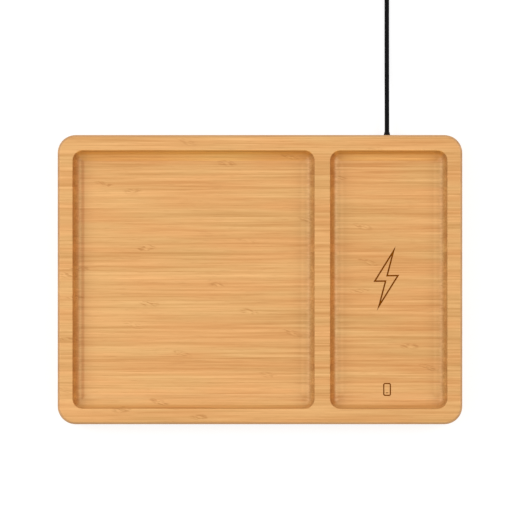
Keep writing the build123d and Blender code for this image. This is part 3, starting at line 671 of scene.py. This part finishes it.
def bamboo():
    """Side-pressed bamboo: thin strips that run along X, with fibres, nodes, end grain and burnt marks."""
    g = Graph("bamboo")
    x, y, z = g.split(g.place)
    facing = g.split(g.add("ShaderNodeNewGeometry").outputs["Normal"])
    across, luck_a, luck_b, luck_c, faint = strips(g, y)

    # the cane's nodes show on level faces only, and hardly in some strips
    level = g.span(g.math("ABSOLUTE", facing[2]), 0.3, 0.7)
    seen = g.math("MULTIPLY", g.span(faint, 0.25, 0.60, 0.15, 1.0), level)
    knot, core, swerve = knots(g, x, across, luck_a, luck_c, seen)

    # fibres, with short dark flecks
    bent_y = g.math("SUBTRACT", y, swerve)
    streak, fine, band, fleck = fibres(g, x, bent_y, z, luck_a)
    colour = fibre_colour(g, x, streak, fine, band, luck_b)
    colour = g.mix(g.math("MULTIPLY", fleck, 0.28), colour, (0.40, 0.170, 0.046))

    # the nodes are slanted dashes and a pale wedge
    dash_place = g.joined(g.math("MULTIPLY_ADD", y, 60.0, g.math("MULTIPLY", x, 260.0)),
                          g.math("MULTIPLY_ADD", x, 240.0, g.math("MULTIPLY", bent_y, 1500.0)),
                          g.math("MULTIPLY", z, 900.0))
    dash = g.span(g.noise(dash_place, 1.0, 1.0), 0.46, 0.62)
    colour = g.mix(g.math("MULTIPLY", g.math("MULTIPLY", knot, dash), 0.66), colour, (0.43, 0.185, 0.052))
    colour = g.mix(g.math("MULTIPLY", core, 0.18), colour, (0.84, 0.50, 0.20))

    # glued joints between strips, some of them hardly seen
    joint = g.span(g.math("ABSOLUTE", g.math("SUBTRACT", across, 0.5)), 0.455, 0.495)
    joint = g.math("MULTIPLY", joint, g.span(luck_c, 0.1, 0.8, 0.2, 1.0))
    colour = g.mix(g.math("MULTIPLY", joint, 0.30), colour, (0.42, 0.185, 0.050))

    # end grain is darker, by an amount that changes from strip to strip
    end_on = g.span(g.math("ABSOLUTE", facing[0]), 0.25, 0.85, smooth=True)
    dots = g.span(g.noise(g.scaled(g.place, (60.0, 1900.0, 1900.0)), 1.0, 2.0), 0.48, 0.66)
    cut = g.math("MULTIPLY_ADD", dots, 0.32, g.math("MULTIPLY_ADD", luck_a, 0.40, 0.01))
    colour = g.mix(g.math("MULTIPLY", end_on, cut), colour, (0.34, 0.14, 0.04))

    # the pocket walls get painted shade and painted highlights
    depth, beside, left, phone = pocket_depth(g, x, y)
    colour = painted_wall_light(g, colour, y, z, depth, beside, left, phone)

    # the rounded outer edge: painted shade, darker and duller where it turns down
    steep = g.span(facing[2], 0.975, 0.93, smooth=True)
    rounded = g.span(z, TRAY_HIGH.z - 2.6 * MM, TRAY_HIGH.z - 1.6 * MM)
    outer = g.math("MULTIPLY", rounded, g.math("LESS_THAN", depth, -3.0 * MM))
    colour = g.mix(g.math("MULTIPLY", g.math("MULTIPLY", outer, steep), 0.42), colour, (0.37, 0.205, 0.105))

    # the burnt marks: charred, rougher and duller
    burnt = burnt_marks(g, x, y, z)
    char = g.noise(g.place, 2600.0, 3.0, 0.7)
    char_colour = g.mix(g.span(char, 0.35, 0.65), (0.112, 0.025, 0.0002), (0.27, 0.073, 0.0006))
    colour = g.mix(burnt, colour, char_colour)

    height = g.math("ADD", g.math("MULTIPLY", fine, 0.6), g.math("MULTIPLY", streak, 0.4))
    height = g.math("SUBTRACT", height, g.math("MULTIPLY", fleck, 0.5))
    height = g.math("SUBTRACT", height, g.math("MULTIPLY", joint, 0.5))
    height = g.math("ADD", height, g.math("MULTIPLY", burnt, char))
    rough = g.math("MULTIPLY_ADD", fine, 0.16, 0.34)
    rough = g.math("MULTIPLY_ADD", end_on, 0.14, rough)
    rough = g.math("MULTIPLY_ADD", burnt, 0.30, rough)
    shine = g.math("MULTIPLY_ADD", burnt, -0.16, 0.18)
    return g.finish(colour, rough, g.bump(height, 0.06 * MM, 0.6), Specular_IOR_Level=shine)


def moulded(name, dark, light, rough=0.5, grain=0.35 * MM, depth=0.02 * MM, specular=0.4):
    """Moulded plastic or rubber: a fine spark-eroded grain, faint flow tones and dust-soft roughness."""
    g = Graph(name)
    tone = g.noise(g.place, 60.0, 3.0)
    speck = g.noise(g.place, 1 / grain, 2.0, 0.6)
    colour = g.mix(g.span(g.math("ADD", tone, g.math("MULTIPLY", speck, 0.5)), 0.45, 1.05), dark, light)
    pits = g.voronoi(g.place, 1.3 / grain)
    height = g.math("ADD", g.math("MULTIPLY", speck, 0.6), g.math("MULTIPLY", pits, 0.4))
    surface = g.math("MULTIPLY_ADD", g.math("ADD", tone, speck), 0.12, rough - 0.12)
    return g.finish(colour, surface, g.bump(height, depth, 0.7), Specular_IOR_Level=specular)


def metal(name, dark, light, rough=0.3, brush=(1.0, 1.0, 12.0)):
    """Worked metal: brushed lines one way and tarnish clouds."""
    g = Graph(name)
    lines = g.noise(g.scaled(g.place, tuple(2500.0 * b for b in brush)), 1.0, 3.0, 0.65)
    cloud = g.noise(g.place, 350.0, 3.0)
    colour = g.mix(g.span(g.math("ADD", cloud, g.math("MULTIPLY", lines, 0.4)), 0.45, 0.95), dark, light)
    surface = g.math("MULTIPLY_ADD", g.math("ADD", lines, cloud), 0.16, rough - 0.16)
    return g.finish(colour, surface, g.bump(lines, 0.008 * MM, 0.5), Metallic=1.0)


def jacket():
    """The lead's soft black jacket: satin, with a fine grain and scuffs."""
    g = Graph("jacket")
    scuff = g.noise(g.place, 420.0, 4.0, 0.6)
    grain = g.noise(g.place, 5200.0, 2.0)
    colour = g.mix(g.span(scuff, 0.45, 0.75), (0.0015, 0.0015, 0.0016), (0.004, 0.004, 0.0043))
    surface = g.math("MULTIPLY_ADD", scuff, 0.20, 0.42)
    return g.finish(colour, surface, g.bump(grain, 0.01 * MM, 0.5), Specular_IOR_Level=0.06)


def copper_winding():
    """Enamelled strand: copper under clear lacquer, uneven in tone and surface."""
    g = Graph("copper_winding")
    lay = g.noise(g.place, 2400.0, 3.0, 0.7)
    colour = g.mix(g.span(lay, 0.3, 0.7), (0.42, 0.13, 0.05), (0.78, 0.36, 0.17))
    surface = g.math("MULTIPLY_ADD", lay, 0.2, 0.18)
    return g.finish(colour, surface, g.bump(lay, 0.04 * MM, 0.6), Metallic=1.0, Coat_Weight=0.5)


def board_mask():
    """A green circuit board: copper tracks showing under the solder mask, and its own weave."""
    g = Graph("board_mask")
    tracks = g.voronoi(g.scaled(g.place, (420.0, 420.0, 0.0)), 1.0, "DISTANCE_TO_EDGE")
    track = g.span(tracks, 0.03, 0.07)
    pour = g.span(g.noise(g.place, 140.0, 0.0), 0.46, 0.50)
    weave = g.noise(g.scaled(g.place, (3000.0, 3000.0, 600.0)), 1.0, 1.0)
    colour = g.mix(pour, (0.006, 0.060, 0.026), (0.010, 0.100, 0.042))
    colour = g.mix(g.math("SUBTRACT", 1.0, track), colour, (0.018, 0.150, 0.066))
    height = g.math("ADD", g.math("MULTIPLY", weave, 0.2), g.math("SUBTRACT", 1.0, track))
    surface = g.math("MULTIPLY_ADD", weave, 0.15, 0.22)
    return g.finish(colour, surface, g.bump(height, 0.03 * MM, 0.5), Coat_Weight=0.3)


def foam():
    """Open grey foam: cells of many sizes."""
    g = Graph("foam")
    cells = g.voronoi(g.place, 1400.0)
    small = g.voronoi(g.place, 3300.0)
    height = g.math("ADD", cells, g.math("MULTIPLY", small, 0.5))
    colour = g.mix(g.span(height, 0.2, 0.9), (0.012, 0.012, 0.014), (0.06, 0.06, 0.065))
    surface = g.math("MULTIPLY_ADD", small, 0.1, 0.85)
    return g.finish(colour, surface, g.bump(height, 0.3 * MM, 0.8), Specular_IOR_Level=0.1)


def ceramic():
    """Chip capacitors: tan ceramic, speckled, its gloss a little uneven."""
    g = Graph("ceramic")
    speck = g.noise(g.place, 4200.0, 3.0, 0.7)
    cloud = g.noise(g.place, 900.0, 2.0)
    colour = g.mix(g.span(speck, 0.35, 0.7), (0.26, 0.15, 0.075), (0.42, 0.27, 0.15))
    surface = g.math("MULTIPLY_ADD", cloud, 0.2, 0.35)
    return g.finish(colour, surface, g.bump(speck, 0.01 * MM, 0.5))


def film():
    """Amber film: clear-coated, with faint creases."""
    g = Graph("film")
    crease = g.noise(g.scaled(g.place, (160.0, 260.0, 100.0)), 1.0, 3.0)
    colour = g.mix(g.span(crease, 0.3, 0.7), (0.36, 0.15, 0.015), (0.56, 0.27, 0.04))
    surface = g.math("MULTIPLY_ADD", crease, 0.15, 0.12)
    return g.finish(colour, surface, g.bump(crease, 0.2 * MM, 0.4), Coat_Weight=0.6)


def strap_fabric():
    """Black hook-and-loop strap: a woven back with a short fuzzy pile."""
    g = Graph("strap_fabric")
    weave = g.voronoi(g.scaled(g.place, (1500.0, 1500.0, 1500.0)), 1.0)
    fuzz = g.noise(g.place, 5200.0, 3.0, 0.75)
    height = g.math("ADD", weave, fuzz)
    colour = g.mix(g.span(height, 0.5, 1.3), (0.003, 0.003, 0.0035), (0.013, 0.013, 0.0145))
    surface = g.math("MULTIPLY_ADD", fuzz, 0.15, 0.8)
    normal = g.bump(height, 0.12 * MM, 0.8)
    return g.finish(colour, surface, normal, Sheen_Weight=0.12, Specular_IOR_Level=0.08)


def dress(material, *things):
    """Gives a finish to CAD nodes, by name, and to the new pieces."""
    for thing in things:
        mesh = NODES[thing].data if isinstance(thing, str) else thing.data
        mesh.materials.clear()
        mesh.materials.append(material)


dress(bamboo(), "bamboo_tray")
dress(moulded("cover_plastic", (0.010, 0.010, 0.011), (0.022, 0.022, 0.024), 0.55, 0.5 * MM, 0.03 * MM),
      "bottom_cover")
dress(metal("screw_steel", (0.16, 0.16, 0.17), (0.34, 0.34, 0.35), 0.36, (1, 6, 1)),
      "cover_screws", "board_screws", "clamp_screws")
dress(moulded("foot_rubber", (0.010, 0.010, 0.010), (0.028, 0.028, 0.028), 0.8, 0.4 * MM, 0.03 * MM, 0.15),
      *feet)
dress(film(), "insulation_film")
dress(copper_winding(), "transmitter_coil", "coil_leads")
dress(moulded("ferrite", (0.018, 0.018, 0.020), (0.050, 0.050, 0.054), 0.75, 0.25 * MM, 0.03 * MM, 0.2),
      "ferrite_shield")
dress(moulded("carrier_plastic", (0.56, 0.56, 0.54), (0.70, 0.70, 0.68), 0.45, 0.5 * MM),
      "coil_carrier", "cord_clamp")
dress(foam(), "foam_pad")
dress(moulded("bead_epoxy", (0.010, 0.008, 0.006), (0.035, 0.025, 0.02), 0.25, 0.2 * MM), "thermistor")
dress(metal("lead_enamel", (0.40, 0.40, 0.42), (0.62, 0.62, 0.64), 0.3), "thermistor_leads")
dress(board_mask(), "circuit_board")
dress(moulded("chip_epoxy", (0.008, 0.008, 0.009), (0.020, 0.020, 0.022), 0.45, 0.1 * MM, 0.01 * MM),
      "charger_chip", "power_transistors", "chip_parts")
dress(ceramic(), "resonant_capacitors", "bulk_capacitors")
dress(moulded("inductor_iron", (0.045, 0.045, 0.048), (0.10, 0.10, 0.105), 0.6, 0.15 * MM, 0.02 * MM),
      "filter_inductor")
dress(metal("crystal_can", (0.46, 0.45, 0.43), (0.66, 0.65, 0.62), 0.25), "crystal")
dress(moulded("core_red", (0.42, 0.010, 0.008), (0.58, 0.025, 0.018), 0.4), "wire_red")
dress(moulded("core_black", (0.006, 0.006, 0.006), (0.018, 0.018, 0.018), 0.4), "wire_black")
dress(moulded("core_white", (0.62, 0.62, 0.60), (0.76, 0.76, 0.74), 0.4), "wire_white")
dress(moulded("core_green", (0.010, 0.18, 0.035), (0.02, 0.28, 0.06), 0.4), "wire_green")
dress(moulded("relief_rubber", (0.002, 0.002, 0.002), (0.006, 0.006, 0.006), 0.6, 0.3 * MM, 0.01 * MM, 0.08),
      "strain_relief")
dress(strap_fabric(), tie)
dress(moulded("grip_plastic", (0.006, 0.006, 0.006), (0.014, 0.014, 0.014), 0.5, 0.3 * MM, specular=0.25),
      grip)
dress(metal("plug_steel", (0.55, 0.54, 0.52), (0.74, 0.73, 0.71), 0.24, (8, 1, 1)), "plug_shell")
dress(moulded("tongue_plastic", (0.66, 0.66, 0.64), (0.78, 0.78, 0.76), 0.4), "plug_tongue")
dress(metal("contact_gold", (0.62, 0.38, 0.10), (0.84, 0.58, 0.20), 0.2), "plug_contacts")
JACKET = jacket()
dress(JACKET, "cord_inlet")
cord.data.materials.append(JACKET)
